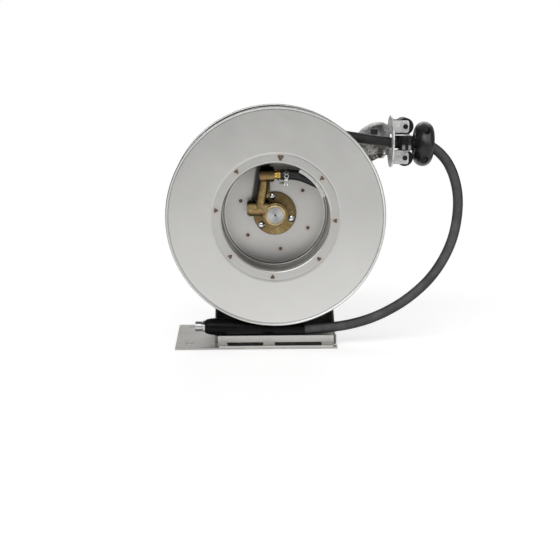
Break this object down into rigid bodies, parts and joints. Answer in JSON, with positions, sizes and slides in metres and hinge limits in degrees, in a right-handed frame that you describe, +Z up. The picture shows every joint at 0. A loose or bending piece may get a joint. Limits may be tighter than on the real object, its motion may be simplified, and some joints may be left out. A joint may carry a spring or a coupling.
{
  "type": "hose reel",
  "caption": "Spring-rewind hose reel: a stainless drum on a fixed axle with a brass swivel, a rear pedestal, a four-roller hose guide and a rubber hose with its stop.",
  "frame": {"origin": "on the underside of the base plate, straight below the middle of the drum", "axes": "+X to the right, towards the hose guide; +Y to the rear, along the axle; +Z up"},
  "size_m": [0.4943, 0.1725, 0.398],
  "materials": {
    "stainless": "brushed stainless sheet",
    "zinc_plate": "bright zinc plate",
    "turned_steel": "fine turned",
    "dark_steel": "dark, oiled",
    "brass": "machined and cast, dulled",
    "bronze": "sintered",
    "galvanised": "hot-dip galvanised, mottled",
    "hose_rubber": "satin, smooth cover",
    "moulded_rubber": "matt moulded",
    "black_nylon": "matt",
    "guard_strip": "satin"
  },
  "bodies": {
    "base": {"base_plate": "stainless", "front_rail": "stainless", "pedestal": "stainless", "base_bolts": "zinc_plate", "axle": "turned_steel", "axle_flange": "zinc_plate", "axle_bolts": "zinc_plate", "axle_collar": "zinc_plate", "retaining_ring": "zinc_plate", "spring_arbor": "dark_steel", "pawl_pin": "zinc_plate", "pawl_spring": "dark_steel", "guide_arm": "galvanised", "roller_frame": "zinc_plate", "frame_screws": "zinc_plate", "roller_pins_horizontal": "dark_steel", "roller_pins_vertical": "dark_steel", "hose_lead": "hose_rubber", "hose_stop_front": "moulded_rubber", "hose_stop_rear": "moulded_rubber", "hose_stop_bolts": "dark_steel", "hose_loop": "hose_rubber", "bend_restrictor": "moulded_rubber", "end_fitting": "turned_steel"},
    "drum": {"front_disc": "stainless", "rear_disc": "stainless", "drum_wall": "stainless", "web_plate": "stainless", "hub_plate": "zinc_plate", "slot_guard": "guard_strip", "swivel_body": "brass", "swivel_bush": "bronze", "swivel_seals": "moulded_rubber", "swivel_screws": "zinc_plate", "hose_nipple": "brass", "hose_clamp": "zinc_plate", "hose_tail": "hose_rubber", "hose_core": "hose_rubber", "hose_wound": "hose_rubber", "spring_case": "zinc_plate", "power_spring": "dark_steel", "spring_anchor": "zinc_plate", "rear_hub": "zinc_plate", "rear_bush": "bronze", "ratchet_wheel": "dark_steel", "hub_screws": "zinc_plate"},
    "roller_top": {"roller_top": "black_nylon"},
    "roller_bottom": {"roller_bottom": "black_nylon"},
    "roller_front": {"roller_front": "black_nylon"},
    "roller_rear": {"roller_rear": "black_nylon"},
    "pawl": {"pawl": "dark_steel"}
  },
  "joints": [
    {"name": "drum_spin", "type": "hinge", "parent": "base", "child": "drum", "pos_m": [0, 0, 0.218], "axis": [0, 1, 0], "continuous": true},
    {"name": "roller_top_spin", "type": "hinge", "parent": "base", "child": "roller_top", "pos_m": [0.2125, 0, 0.3636], "axis": [0, 1, 0], "continuous": true},
    {"name": "roller_bottom_spin", "type": "hinge", "parent": "base", "child": "roller_bottom", "pos_m": [0.2125, 0, 0.3124], "axis": [0, 1, 0], "continuous": true},
    {"name": "roller_front_spin", "type": "hinge", "parent": "base", "child": "roller_front", "pos_m": [0.2125, -0.032, 0.338], "axis": [0, 0, 1], "continuous": true},
    {"name": "roller_rear_spin", "type": "hinge", "parent": "base", "child": "roller_rear", "pos_m": [0.2125, 0.032, 0.338], "axis": [0, 0, 1], "continuous": true},
    {"name": "pawl_pivot", "type": "hinge", "parent": "base", "child": "pawl", "pos_m": [0.00364, 0.05525, 0.14431], "axis": [0, 1, 0], "range_deg": [-8, 9], "stiffness_Nm_per_rad": 0.05}
  ]
}
